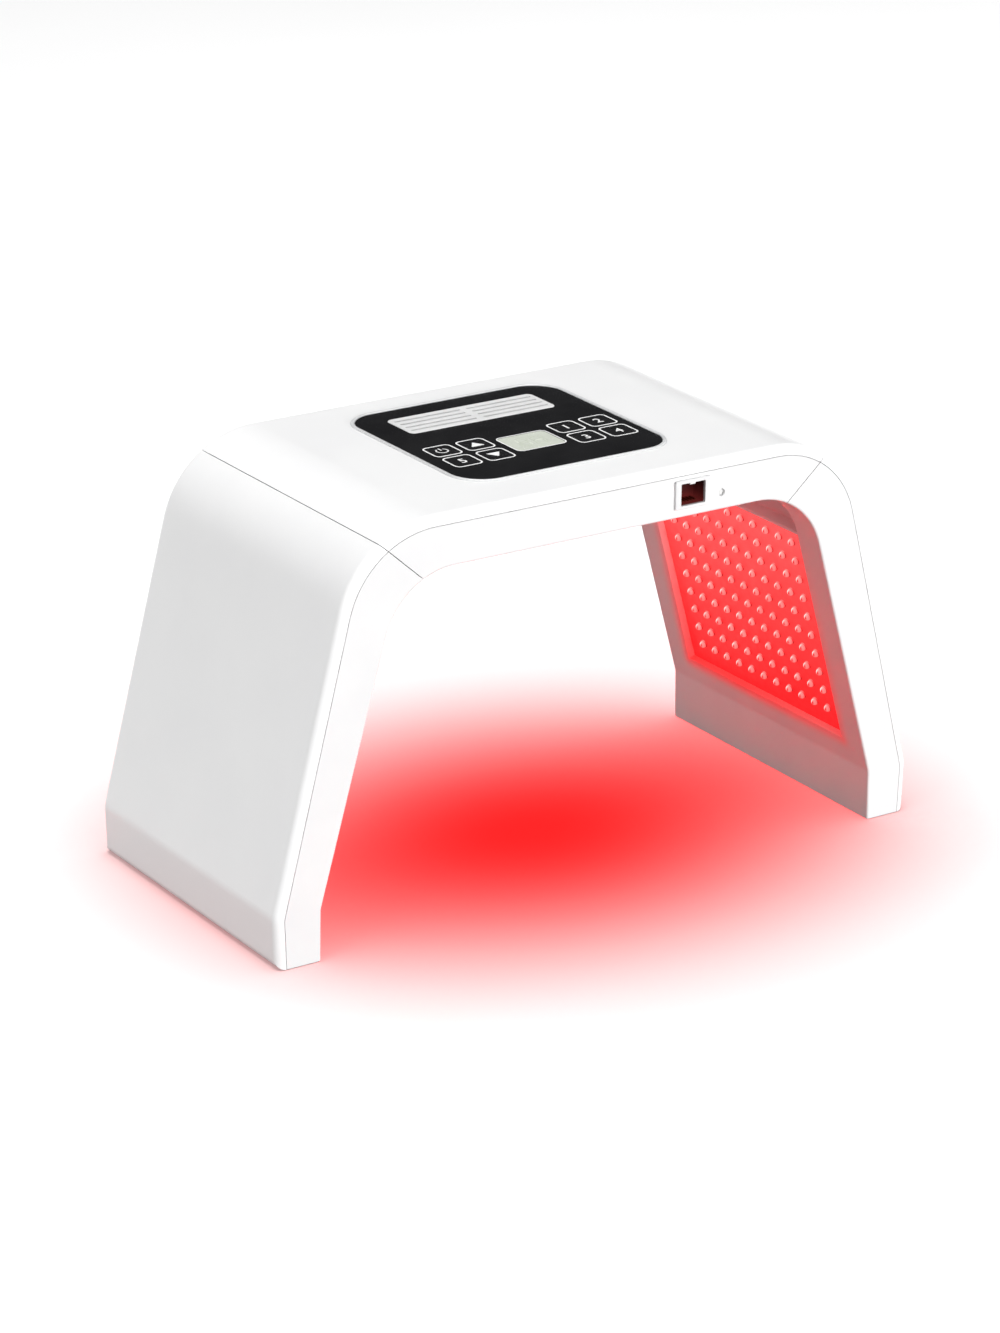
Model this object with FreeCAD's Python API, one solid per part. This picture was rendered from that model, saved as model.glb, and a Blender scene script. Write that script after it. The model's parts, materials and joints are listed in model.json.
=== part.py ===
import FreeCAD, Part
import math
import os

# Folding light-therapy arch: a flat top module and two hinged side wings, each
# a white two-shell housing with a recessed board of domed LEDs on its inside.
# Frame: X across the arch, Y front to back (front is -Y), Z up, origin on the
# supporting surface under the middle of the arch.  Millimetres.

os.makedirs("parts", exist_ok=True)
V = FreeCAD.Vector

# ---------------------------------------------------------------- dimensions
DEPTH = 180.0            # front to back
HALF = DEPTH / 2
HEIGHT = 222.0           # top of the arch
FOOT_Z = 0.4             # shell bottoms sit this high on the rubber pads
# outer section, right half: foot, foot bend, top corner
OUT = [(196.0, 0.0), (197.0, 27.5), (147.6, HEIGHT)]
OUT_R = [14.0, 56.0]     # bend and corner radii
# inner section, right half
INN = [(171.0, 0.0), (170.6, 28.0), (123.9, 194.7)]
INN_R = [9.0, 42.0]
WALL = 2.4               # shell wall
SIDE = 2.6               # front and back wall
LIPZ = 5.0               # how far the outer cover wraps round the front and back
SEAM = 0.35              # open seam between cover and inner frame
EDGE_R = 4.8             # rounding of the cover's front and back edges
GAP = 0.2                # half the fold gap between top module and wing
# fold line: hinge axis on the inner corner, split plane at 42 degrees
AX, AZ = 110.5, 190.45
SPLIT_DEG = 42.0
RIM_Y = 70.7             # half width of windows and hinge bays
WIN_X = 75.5             # half length of the top window
WIN_V = (14.5, 140.5)    # wing window, measured up the inner face from the foot bend
BAY_X = 90.5             # hinge bay starts here on the top module
BAY_V = 142.0            # and here on the wing
BAY_DEEP = 7.0
RECESS = 4.0             # board face below the rim
BOARD_T = 1.6
PITCH = 11.5             # LED pitch
KNUCKLE_R = 3.6
PIN_R = 1.5
FOLD_DEG = 50.0          # each wing folds inwards by this much
PAD_X, PAD_W = 182.8, 14.0   # rubber pads under the foot

# control fascia on the top cover
FAS_W, FAS_D, FAS_R = 126.0, 123.7, 18.0
FAS_Y = 4.5
FAS_TOP = 222.3
FAS_BOT = 220.2
RING_W = 2.0
KEY = 17.0
KEY_R = 3.4
KEY_GAP = 0.12
KEY_X = [1.6 - 47.9, 1.6 - 27.9, 1.6 + 27.9, 1.6 + 47.9]
KEY_Y = [-5.3, -24.3]
KEY_TRAVEL = 0.4
DISP_W, DISP_D = 29.2, 23.2
DISP_X, DISP_Y = 1.6, -15.0
VENT_W, VENT_D, VENT_Y = 90.0, 26.2, 39.2
PCB_Z0, PCB_Z1 = 212.0, 213.6
FAN = 30.0
FAN_Z0, FAN_Z1 = 208.6, 218.6
# front socket and light, back power inlet
SOCK_X, SOCK_Z, SOCK_W, SOCK_H = 49.7, 207.2, 15.0, 11.8
LIGHT_X, LIGHT_Z, LIGHT_R = 68.6, 203.9, 1.95
INLET_X, INLET_Z = -52.0, 206.0

SX, SZ = math.cos(math.radians(SPLIT_DEG)), math.sin(math.radians(SPLIT_DEG))
MX, MZ = SZ, -SX         # across the split, towards the wing


# ---------------------------------------------------------------- 2-D helpers
def vec(p, y=0.0):
    return V(p[0], y, p[1])


def offset_line(a, b, d):
    """Line a-b moved by d to the right of its direction."""
    dx, dz = b[0] - a[0], b[1] - a[1]
    n = math.hypot(dx, dz)
    nx, nz = dz / n, -dx / n
    return (a[0] + nx * d, a[1] + nz * d), (dx / n, dz / n)


def meet(l1, l2):
    (p, u), (q, w) = l1, l2
    det = u[0] * w[1] - u[1] * w[0]
    t = ((q[0] - p[0]) * w[1] - (q[1] - p[1]) * w[0]) / det
    return (p[0] + u[0] * t, p[1] + u[1] * t)


def arch(points, radii, d, grow):
    """Vertices and radii of the whole arch line, offset by d (outwards is positive)."""
    foot, bend, corner = points
    line = [(-foot[0], foot[1]), (-bend[0], bend[1]), (-corner[0], corner[1]),
            corner, bend, foot]
    lines = [offset_line(line[i], line[i + 1], -d) for i in range(5)]
    pts = [meet(lines[i], lines[i + 1]) for i in range(4)]
    first = meet(lines[0], ((0, FOOT_Z), (1, 0)))
    last = meet(lines[4], ((0, FOOT_Z), (1, 0)))
    rb, rc = radii[0] + d, radii[1] + d
    return [first] + pts + [last], [0, rb, rc, rc, rb, 0]


def rounded(pts, radii):
    """Edges of an open polyline with tangent arcs at its inner vertices."""
    edges, at = [], pts[0]
    for i in range(1, len(pts) - 1):
        p, r = pts[i], radii[i]
        ax, az = pts[i - 1][0] - p[0], pts[i - 1][1] - p[1]
        bx, bz = pts[i + 1][0] - p[0], pts[i + 1][1] - p[1]
        la, lb = math.hypot(ax, az), math.hypot(bx, bz)
        ax, az, bx, bz = ax / la, az / la, bx / lb, bz / lb
        half = math.acos(max(-1, min(1, ax * bx + az * bz))) / 2
        t = r / math.tan(half)
        s = (p[0] + ax * t, p[1] + az * t)
        e = (p[0] + bx * t, p[1] + bz * t)
        cx, cz = ax + bx, az + bz
        n = math.hypot(cx, cz)
        k = r / math.sin(half) - r
        m = (p[0] + cx / n * k, p[1] + cz / n * k)
        edges.append(Part.LineSegment(vec(at), vec(s)).toShape())
        edges.append(Part.Arc(vec(s), vec(m), vec(e)).toShape())
        at = e
    edges.append(Part.LineSegment(vec(at), vec(pts[-1])).toShape())
    return edges, pts[0], pts[-1]


def outer(d):
    return rounded(*arch(OUT, OUT_R, -d, -1))


def inner(d):
    return rounded(*arch(INN, INN_R, d, 1))


def between(a, b, y0, y1):
    """Solid between two arch lines, from y0 to y1."""
    ea, a0, a1 = a
    eb, b0, b1 = b
    edges = ea + eb + [Part.LineSegment(vec(a0), vec(b0)).toShape(),
                       Part.LineSegment(vec(a1), vec(b1)).toShape()]
    wire = Part.Wire(Part.__sortEdges__(edges))
    face = Part.Face(wire)
    face.translate(V(0, y0, 0))
    return face.extrude(V(0, y1 - y0, 0))


def prism(points, y0, y1):
    wire = Part.makePolygon([vec(p, y0) for p in points] + [vec(points[0], y0)])
    return Part.Face(wire).extrude(V(0, y1 - y0, 0))


def box(x0, x1, y0, y1, z0, z1):
    return Part.makeBox(x1 - x0, y1 - y0, z1 - z0, V(x0, y0, z0))


def slab(cx, cy, w, d, r, z0, z1):
    """Flat rounded rectangle, lying in XY."""
    b = box(cx - w / 2, cx + w / 2, cy - d / 2, cy + d / 2, z0, z1)
    up = [e for e in b.Edges if abs(e.Vertexes[0].X - e.Vertexes[-1].X) < 1e-6
          and abs(e.Vertexes[0].Y - e.Vertexes[-1].Y) < 1e-6]
    return b.makeFillet(r, up) if r > 0 else b


def front_slab(cx, cz, w, h, r, y0, y1):
    """Flat rounded rectangle, lying in XZ."""
    b = box(cx - w / 2, cx + w / 2, y0, y1, cz - h / 2, cz + h / 2)
    if r <= 0:
        return b
    along = [e for e in b.Edges if abs(e.Vertexes[0].X - e.Vertexes[-1].X) < 1e-6
             and abs(e.Vertexes[0].Z - e.Vertexes[-1].Z) < 1e-6]
    return b.makeFillet(r, along)


def cyl(r, h, p, axis):
    return Part.makeCylinder(r, h, p, axis)


def fuse(shapes):
    s = shapes[0].multiFuse(shapes[1:]) if len(shapes) > 1 else shapes[0]
    return s.removeSplitter()


def top_edges(shape, z, tol=1e-3):
    return [e for e in shape.Edges if all(abs(v.Z - z) < tol for v in e.Vertexes)
            and abs(e.CenterOfMass.z - z) < tol]


def soften(shape, edges, r):
    """Fillet, or the plain shape where the kernel can't."""
    try:
        s = shape.makeFillet(r, edges)
        if s.isValid() and s.Volume > 0.8 * shape.Volume:
            return s
    except Exception as e:
        print("fillet skipped:", e)
    return shape


def check(name, shape):
    bad = [s for s in shape.Solids if not s.isValid() or s.Volume <= 0]
    print(f"{name:26s} solids {len(shape.Solids):3d} volume {sum(s.Volume for s in shape.Solids):10.1f}"
          + ("" if not bad and shape.Solids else "   BAD"))


def save(name, shape):
    solids = shape.Solids
    check(name, shape)
    out = solids[0] if len(solids) == 1 else Part.makeCompound(solids)
    out.exportStep(f"parts/{name}.step")


def mirror_x(shape):
    return shape.mirror(V(0, 0, 0), V(1, 0, 0))


# ------------------------------------------------- split regions and wing frame
def at(m, s, side=1):
    """Point at m across and s along the right split plane, from the hinge axis."""
    return (AX + MX * m + SX * s, AZ + MZ * m + SZ * s)


def mirrored(points):
    return [(-p[0], p[1]) for p in points]


CENTRE_POLY = [at(-GAP, -30), at(-GAP, 80), mirrored([at(-GAP, 80)])[0], mirrored([at(-GAP, -30)])[0]]
WING_POLY = [at(GAP, -30), at(GAP, 80), (320.0, 260.0), (320.0, -30.0), (60.0, -30.0)]
centre_region = prism(CENTRE_POLY, -120, 120)
wing_region = prism(WING_POLY, -120, 120)

WING_A = math.atan2(INN[1][0] - INN[2][0], INN[2][1] - INN[1][1])   # splay of the inner face
UX, UZ = -math.sin(WING_A), math.cos(WING_A)                          # up the wing
PX, PZ = math.cos(WING_A), math.sin(WING_A)                           # out through its thickness


def wing(v, p):
    return (INN[1][0] + UX * v + PX * p, INN[1][1] + UZ * v + PZ * p)


def wing_prism(v0, v1, p0, p1, y0, y1):
    return prism([wing(v0, p0), wing(v1, p0), wing(v1, p1), wing(v0, p1)], y0, y1)


def wing_cyl(v, y, p0, p1, r):
    q = wing(v, p0)
    return cyl(r, p1 - p0, V(q[0], y, q[1]), V(PX, 0, PZ))


# ---------------------------------------------------------------- outer covers
skin = between(outer(0), outer(LIPZ), -HALF, HALF)
ring_edges = []
for e in skin.Edges:
    if all(abs(abs(v.Y) - HALF) < 1e-6 for v in e.Vertexes) and e.Length > 1:
        c = e.valueAt((e.FirstParameter + e.LastParameter) / 2)
        # edges on the outermost line only
        if Part.Vertex(c).distToShape(Part.Wire(outer(0)[0]).translated(V(0, c.y, 0)))[0] < 1e-4:
            ring_edges.append(e)
skin = soften(skin, ring_edges, EDGE_R)
hollow = between(outer(WALL), outer(LIPZ + 3), -HALF + SIDE, HALF - SIDE)
hollow = hollow.common(box(-300, 300, -100, 100, FOOT_Z + WALL, 300))
skin = skin.cut(hollow)

# ---------------------------------------------------------------- inner frames
parts = []
for y0, y1 in ((-HALF, -HALF + SIDE), (HALF - SIDE, HALF)):
    parts.append(between(outer(LIPZ + SEAM), inner(0), y0, y1))
for sgn in (-1, 1):
    a, b = sorted((sgn * (HALF - SIDE + 0.6), sgn * (HALF - 4.6)))
    parts.append(between(outer(LIPZ + SEAM), outer(7.0), a, b))
    # tongue that centres the cover on the frame
    a, b = sorted((sgn * (HALF - SIDE - 0.2), sgn * (HALF - 4.6)))
    parts.append(between(outer(3.0), outer(7.0), a, b).common(
        box(-300, 300, -100, 100, FOOT_Z + WALL + 0.4, 300)))
rim = between(inner(0), inner(WALL), -HALF + 1, HALF - 1)
parts.append(rim)
floor_band = between(outer(LIPZ + SEAM), inner(0), -HALF + 1, HALF - 1)
parts.append(floor_band.common(box(-300, 300, -100, 100, FOOT_Z, FOOT_Z + WALL)))
full_band = between(outer(WALL + 0.35), inner(0), -HALF + SIDE - 0.1, HALF - SIDE + 0.1)
full_band = full_band.common(box(-300, 300, -85.6, 85.6, 0, 300)).fuse(
    between(outer(7.0), inner(0), -HALF + SIDE - 0.1, HALF - SIDE + 0.1))
for pts in ([at(-GAP - 2, -5), at(-GAP - 2, 80), at(GAP + 2, 80), at(GAP + 2, -5)],):
    for q in (pts, mirrored(pts)):
        parts.append(full_band.common(prism(q, -88, 88)))

BAY = [(BAY_X, 150.0), (BAY_X, 240.0), (200.0, 240.0), wing(BAY_V, 60), wing(BAY_V, -30)]
BAY_BIG = [(BAY_X - 1.6, 150.0), (BAY_X - 1.6, 240.0), (200.0, 240.0),
           wing(BAY_V - 1.5, 60), wing(BAY_V - 1.5, -30)]
bay_block = between(inner(0), inner(BAY_DEEP + WALL), -RIM_Y - 2, RIM_Y + 2)
bay_cut = between(inner(-4), inner(BAY_DEEP), -RIM_Y, RIM_Y)
bay_cuts = []
for q, c in ((BAY_BIG, BAY), (mirrored(BAY_BIG), mirrored(BAY))):
    parts.append(bay_block.common(prism(q, -90, 90)))
    bay_cuts.append(bay_cut.common(prism(c, -90, 90)))
# window surrounds
parts.append(box(-WIN_X - 2, WIN_X + 2, -RIM_Y - 2, RIM_Y + 2, INN[2][1], INN[2][1] + RECESS))
wing_surround = wing_prism(WIN_V[0] - 2, WIN_V[1] + 0.5, 0, RECESS, -RIM_Y - 2, RIM_Y + 2)
parts += [wing_surround, mirror_x(wing_surround)]
frame_all = fuse(parts)
wing_window = wing_prism(WIN_V[0], WIN_V[1], -6, RECESS + 3, -RIM_Y, RIM_Y)
cuts = bay_cuts + [box(-WIN_X, WIN_X, -RIM_Y, RIM_Y, INN[2][1] - 4, INN[2][1] + RECESS + 2),
                   wing_window, mirror_x(wing_window)]
for c in cuts:
    frame_all = frame_all.cut(c)

# soften the inner front and back edges
line0 = inner(0)[0]
wire0 = Part.Wire(Part.__sortEdges__(line0))


# ------------------------------------------------------------ top module shells
top_cover = skin.common(centre_region)
inner_top = frame_all.common(centre_region)
right_cover = skin.common(wing_region)
right_frame = frame_all.common(wing_region)


def inner_front_edges(shape):
    found = []
    for e in shape.Edges:
        if e.Length < 2 or not all(abs(abs(v.Y) - HALF) < 1e-6 for v in e.Vertexes):
            continue
        c = e.valueAt((e.FirstParameter + e.LastParameter) / 2)
        if abs(abs(c.y) - HALF) < 1e-6 and Part.Vertex(V(c.x, 0, c.z)).distToShape(wire0)[0] < 1e-3:
            found.append(e)
    return found


inner_top = soften(inner_top, inner_front_edges(inner_top), 1.2)
right_frame = soften(right_frame, inner_front_edges(right_frame), 1.2)

# hinge knuckles: three on the top module and two on each wing, either side of
# the cable gap in the middle
CENTRE_KNUCKLES = [(-66.0, -48.0), (-29.2, -11.2), (11.2, 29.2), (48.0, 66.0)]
WING_KNUCKLES = [(-47.6, -29.6), (29.6, 47.6)]


def knuckle(y0, y1, m0, m1):
    disc = cyl(KNUCKLE_R, y1 - y0, V(AX, y0, AZ), V(0, 1, 0))
    web = prism([at(m0, 0), at(m0, 8.6), at(m1, 8.6), at(m1, 0)], y0, y1)
    return disc.fuse(web)


ck = [knuckle(a, b, -3.6, -0.35) for a, b in CENTRE_KNUCKLES]
ck += [mirror_x(k) for k in ck]
inner_top = fuse([inner_top] + ck)
wk = [knuckle(a, b, 0.35, 3.6) for a, b in WING_KNUCKLES]
right_frame = fuse([right_frame] + wk)
for sgn in (-1, 1):
    inner_top = inner_top.cut(cyl(PIN_R + 0.02, 160, V(sgn * AX, -80 + 12.5, AZ), V(0, 1, 0)).common(
        box(-300, 300, -67.5, 67.5, 0, 300)))
right_frame = right_frame.cut(cyl(PIN_R + 0.05, 135, V(AX, -67.5, AZ), V(0, 1, 0)))

# ribbon slots through the end walls and the bay floors stay closed: the ribbon
# crosses 11 mm outside the hinge axis
SLOT_S = 11.6
slot = prism([at(-6, SLOT_S - 1.4), at(-6, SLOT_S + 1.4), at(6, SLOT_S + 1.4), at(6, SLOT_S - 1.4)], -8, 8)
inner_top = inner_top.cut(slot).cut(mirror_x(slot))
right_frame = right_frame.cut(slot)

# ---------------------------------------------------------------- screws, bosses
screws = {"top": [], "right": []}


def screw_at(base, axis, length, r=1.45, head_r=2.8, head_h=2.0):
    """Screw whose head's underside is at base; the shank runs along axis."""
    a = V(axis)
    a.normalize()
    shank = cyl(r, length, base, a)
    head = cyl(head_r, head_h, base - a * head_h, a)
    s = head.fuse(shank).removeSplitter()
    cross = [Part.makeBox(3.0, 0.7, 1.0, V(-1.5, -0.35, 0)), Part.makeBox(0.7, 3.0, 1.0, V(-0.35, -1.5, 0))]
    c = cross[0].fuse(cross[1])
    c.Placement = FreeCAD.Placement(base - a * head_h, FreeCAD.Rotation(V(0, 0, 1), a))
    return s.cut(c)


# top module: four screws up through the hinge bays
bosses = []
for sx in (-1, 1):
    for y in (-58.0, 58.0):
        x = sx * 98.0
        zf = 152.7 + math.sqrt((42 + BAY_DEEP) ** 2 - (98.0 - 92.1) ** 2) + 0.35
        boss = cyl(3.4, 16.2, V(x, y, zf + WALL + 0.4), V(0, 0, 1))
        bosses.append(boss.cut(cyl(1.5, 14.0, V(x, y, zf + WALL), V(0, 0, 1))))
        inner_top = inner_top.cut(cyl(1.75, 9, V(x, y, zf - 4), V(0, 0, 1)))
        inner_top = inner_top.cut(cyl(3.0, 2.5, V(x, y, zf - 2.5), V(0, 0, 1)))
        screws["top"].append(screw_at(V(x, y, zf), V(0, 0, 1), 11.0))
inner_z = HEIGHT - WALL

# ledge, opening and standoffs of the top cover
ledge = slab(0, FAS_Y, FAS_W + 10, FAS_D + 10, 22, 218.0, inner_z + 0.5)
top_cover = fuse([top_cover, ledge] + [b.common(box(-300, 300, -90, 90, 150, HEIGHT - 1.0)).common(
    between(outer(1.0), inner(0), -88, 88)) for b in bosses])
top_cover = top_cover.cut(slab(0, FAS_Y, FAS_W + 2 * RING_W + 0.3, FAS_D + 2 * RING_W + 0.3, 20.15, FAS_BOT, 230))
top_cover = top_cover.cut(slab(0, FAS_Y, FAS_W - 7, FAS_D - 7, 15, 210, 230))
PCB_X, PCB_Y0, PCB_Y1 = 66.0, -42.0, 13.0
standoffs = []
for x in (-62.2, 62.2):
    for y in (-37.0, 9.2):
        standoffs.append(cyl(3.0, 218.2 - PCB_Z1, V(x, y, PCB_Z1), V(0, 0, 1)).cut(
            cyl(1.25, 6, V(x, y, PCB_Z1 - 1), V(0, 0, 1))))
top_cover = fuse([top_cover] + standoffs)

# front openings of the top frame
inner_top = inner_top.cut(front_slab(SOCK_X, SOCK_Z, SOCK_W + 2.6, SOCK_H + 2.6, 1.2, -HALF - 2, -HALF + 6))
inner_top = inner_top.cut(cyl(LIGHT_R + 0.05, 8, V(LIGHT_X, -HALF - 2, LIGHT_Z), V(0, 1, 0)))
inner_top = inner_top.cut(cyl(4.55, 8, V(INLET_X, HALF - 5, INLET_Z), V(0, 1, 0)))

# wing: two screws in the bay, two under the foot
rb = math.radians(30.0)
rx, rz = math.cos(rb), math.sin(rb)
wing_bosses = []
for y in (-58.0, 58.0):
    q = (92.1 + (42 + BAY_DEEP) * rx, 152.7 + (42 + BAY_DEEP) * rz)
    base = V(q[0], y, q[1])
    a = V(rx, 0, rz)
    right_frame = right_frame.cut(cyl(1.75, 9, base - a * 4, a))
    right_frame = right_frame.cut(cyl(3.0, 3.0, base - a * 3.0, a))
    screws["right"].append(screw_at(base, a, 12.0))
    boss = cyl(3.4, 30, base + a * (WALL + 0.4), a).common(between(outer(1.0), inner(0), -88, 88))
    wing_bosses.append(boss.cut(cyl(1.5, 12.5, base + a * WALL, a)))
    # foot screws
    fx = 184.0
    right_frame = right_frame.cut(cyl(1.75, 9, V(fx, y, -2), V(0, 0, 1)))
    right_frame = right_frame.cut(cyl(3.1, 1.7, V(fx, y, FOOT_Z - 0.5), V(0, 0, 1)))
    screws["right"].append(screw_at(V(fx, y, FOOT_Z + 1.2), V(0, 0, 1), 9.0, head_h=1.1))
    fb = cyl(3.4, 12, V(fx, y, FOOT_Z + WALL + 0.3), V(0, 0, 1))
    fw = box(fx, 195.0, y - 1.2, y + 1.2, FOOT_Z + WALL + 0.3, FOOT_Z + WALL + 12.3)
    fb = fb.fuse(fw.common(between(outer(1.0), inner(0), -88, 88)))
    wing_bosses.append(fb.cut(cyl(1.5, 11, V(fx, y, 0), V(0, 0, 1))))
right_cover = fuse([right_cover] + wing_bosses)

# rubber pads under the foot, in shallow pockets
pads = []
for y in (-74.0, 0.0, 74.0):
    pad = slab(PAD_X, y, PAD_W, 20.0, 3.0, 0.0, 1.5)
    right_frame = right_frame.cut(slab(PAD_X, y, PAD_W + 0.2, 20.2, 3.1, -1.0, 1.5))
    pads.append(pad)

# board screw bosses
BOARD_HOLES_TOP = [(-80.8, -75.8), (80.8, -75.8), (-80.8, 75.8), (80.8, 75.8)]
BOARD_HOLES_WING = [(10.0, -75.8), (136.0, -75.8), (10.0, 75.8), (136.0, 75.8)]
zr = INN[2][1]
for x, y in BOARD_HOLES_TOP:
    inner_top = inner_top.fuse(cyl(2.6, RECESS - WALL + 0.5, V(x, y, zr + WALL - 0.5), V(0, 0, 1)))
    inner_top = inner_top.cut(cyl(1.2, 3.2, V(x, y, zr + 1.0), V(0, 0, 1)))
for v, y in BOARD_HOLES_WING:
    right_frame = right_frame.fuse(wing_cyl(v, y, WALL - 0.5, RECESS, 2.6))
    right_frame = right_frame.cut(wing_cyl(v, y, 1.0, RECESS + 0.2, 1.2))

save("top_cover", top_cover)
# the frame is clipped together from a flat middle and two hinge ends
END_X = 88.4
ends = [inner_top.common(box(x0, x1, -120, 120, 100, 300)) for x0, x1 in ((-300, -END_X), (-END_X, END_X), (END_X, 300))]
save("top_inner_frame", Part.makeCompound(ends))
save("right_outer_cover", right_cover)
save("left_outer_cover", mirror_x(right_cover))
save("right_inner_frame", right_frame)
save("left_inner_frame", mirror_x(right_frame))
save("right_foot_pads", Part.makeCompound(pads))
save("left_foot_pads", Part.makeCompound([mirror_x(p) for p in pads]))

# ---------------------------------------------------------------- LED boards
top_board = slab(0, 0, 168.0, 158.0, 2.0, zr + RECESS, zr + RECESS + BOARD_T)
for x, y in BOARD_HOLES_TOP:
    top_board = top_board.cut(cyl(1.4, 6, V(x, y, zr + RECESS - 2), V(0, 0, 1)))
save("top_led_board", top_board)
wing_board = wing_prism(6.5, 140.2, RECESS, RECESS + BOARD_T, -79, 79)
for v, y in BOARD_HOLES_WING:
    wing_board = wing_board.cut(wing_cyl(v, y, RECESS - 2, RECESS + 4, 1.4))
save("right_led_board", wing_board)
save("left_led_board", mirror_x(wing_board))

# LED domes: a short cylinder with a round nose, pointing into the arch
LED_R, LED_H = 2.35, 2.7


dome = Part.makeCylinder(LED_R, LED_H)
dome = dome.makeFillet(1.95, top_edges(dome, LED_H))


def led(pos, direction):
    d = dome.copy()
    d.Placement = FreeCAD.Placement(pos, FreeCAD.Rotation(V(0, 0, 1), direction))
    return d


leds = []
for i in range(12):
    for j in range(11):
        leds.append(led(V((i - 5.5) * PITCH, (j - 5) * PITCH, zr + RECESS), V(0, 0, -1)))
save("top_led_lenses", Part.makeCompound(leds))
leds = []
LED_V0 = 26.6
for i in range(10):
    for j in range(11):
        q = wing(LED_V0 + i * PITCH, RECESS)
        leds.append(led(V(q[0], (j - 5) * PITCH, q[1]), V(-PX, 0, -PZ)))
save("right_led_lenses", Part.makeCompound(leds))
save("left_led_lenses", Part.makeCompound([mirror_x(s) for s in leds]))

# board screws
bs = []
for x, y in BOARD_HOLES_TOP:
    bs.append(screw_at(V(x, y, zr + RECESS + BOARD_T), V(0, 0, -1), 4.2, r=1.15, head_r=2.2, head_h=1.5))
save("top_board_screws", Part.makeCompound(bs))
bs = []
for v, y in BOARD_HOLES_WING:
    q = wing(v, RECESS + BOARD_T)
    bs.append(screw_at(V(q[0], y, q[1]), V(-PX, 0, -PZ), 4.2, r=1.15, head_r=2.2, head_h=1.5))
save("right_board_screws", Part.makeCompound(bs))
save("left_board_screws", Part.makeCompound([mirror_x(s) for s in bs]))
save("top_case_screws", Part.makeCompound(screws["top"]))
save("right_case_screws", Part.makeCompound(screws["right"]))
save("left_case_screws", Part.makeCompound([mirror_x(s) for s in screws["right"]]))

# hinge pins: two a side, either side of the cable gap
pins = [cyl(PIN_R, 56.0, V(AX, y, AZ), V(0, 1, 0)) for y in (-66.6, 10.6)]
save("right_hinge_pins", Part.makeCompound(pins))
save("left_hinge_pins", Part.makeCompound([mirror_x(p) for p in pins]))

# ---------------------------------------------------------------- ribbons
# flat ribbon 12 x 0.9 mm from the control board to each wing board, crossing
# the fold outside the hinge axis: straight runs joined by tangent arcs
def ribbon(points, width, thick):
    radii = [0.0]
    for i in range(1, len(points) - 1):
        a, p, b = points[i - 1], points[i], points[i + 1]
        la, lb = math.dist(a, p), math.dist(p, b)
        ca = ((a[0] - p[0]) * (b[0] - p[0]) + (a[1] - p[1]) * (b[1] - p[1])) / la / lb
        half = math.acos(max(-1, min(1, ca))) / 2
        radii.append(0.45 * min(la, lb) * math.tan(half))
    radii.append(0.0)
    print("ribbon radii", [round(r, 1) for r in radii])
    out = []
    for sgn in (-1, 1):
        pts, rr = [], []
        lines = [offset_line(points[i], points[i + 1], sgn * thick / 2) for i in range(len(points) - 1)]
        ends = [lines[0][0]]
        for i in range(1, len(points) - 1):
            ends.append(meet(lines[i - 1], lines[i]))
        n = points[-1]
        o, u = lines[-1]
        k = (n[0] - o[0]) * u[0] + (n[1] - o[1]) * u[1]
        ends.append((o[0] + u[0] * k, o[1] + u[1] * k))
        for i in range(1, len(points) - 1):
            a, p, b = points[i - 1], points[i], points[i + 1]
            turn = (p[0] - a[0]) * (b[1] - p[1]) - (p[1] - a[1]) * (b[0] - p[0])
            rr.append(radii[i] + (sgn if turn > 0 else -sgn) * thick / 2)
        out.append(rounded(ends, [0] + rr + [0]))
    (ea, a0, a1), (eb, b0, b1) = out
    edges = ea + eb + [Part.LineSegment(vec(a0), vec(b0)).toShape(), Part.LineSegment(vec(a1), vec(b1)).toShape()]
    face = Part.Face(Part.Wire(Part.__sortEdges__(edges)))
    face.translate(V(0, -width / 2, 0))
    return face.extrude(V(0, width, 0))


RIB = [(70.9, 210.9), (90.0, 211.4), (106.5, 208.4), at(0.0, SLOT_S), (135.6, 186.4),
       wing(136.0, 13.4), wing(119.0, 11.4), wing(106.5, 10.2)]
rib = ribbon(RIB, 12.0, 0.9)
print("ribbon length", sum(math.dist(RIB[i], RIB[i + 1]) for i in range(len(RIB) - 1)),
      "volume / section", rib.Volume / 10.8)
save("right_ribbon", rib)
save("left_ribbon", mirror_x(rib))
# ribbon sockets: one under the control board each side, one on each wing board
sk = box(60.5, 70.5, -6.6, 6.6, 209.4, PCB_Z0)
save("ribbon_sockets", Part.makeCompound([sk, mirror_x(sk)]))
wsk = wing_prism(96.0, 106.0, RECESS + BOARD_T, RECESS + BOARD_T + 6.2, -7.5, 7.5)
save("right_ribbon_socket", wsk)
save("left_ribbon_socket", mirror_x(wsk))

# ---------------------------------------------------------------- fascia
fascia = slab(0, FAS_Y, FAS_W - 0.2, FAS_D - 0.2, FAS_R - 0.1, FAS_BOT, FAS_TOP)
fascia = soften(fascia, top_edges(fascia, FAS_TOP), 0.5)
fascia = fascia.cut(slab(0, VENT_Y, VENT_W, VENT_D, 3.4, 210, 230))
fascia = fascia.cut(slab(DISP_X, DISP_Y, DISP_W, DISP_D, 3.0, 210, 230))
for x in KEY_X:
    for y in KEY_Y:
        fascia = fascia.cut(slab(x, y, KEY + 2 * KEY_GAP, KEY + 2 * KEY_GAP, KEY_R + KEY_GAP, 210, 230))
save("control_fascia", fascia)

ring = slab(0, FAS_Y, FAS_W + 2 * RING_W, FAS_D + 2 * RING_W, 20.0, FAS_BOT, 222.8)
ring = ring.cut(slab(0, FAS_Y, FAS_W, FAS_D, FAS_R, 219, 224))
ring = soften(ring, top_edges(ring, 222.8), 0.7)
save("fascia_ring", ring)

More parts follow.
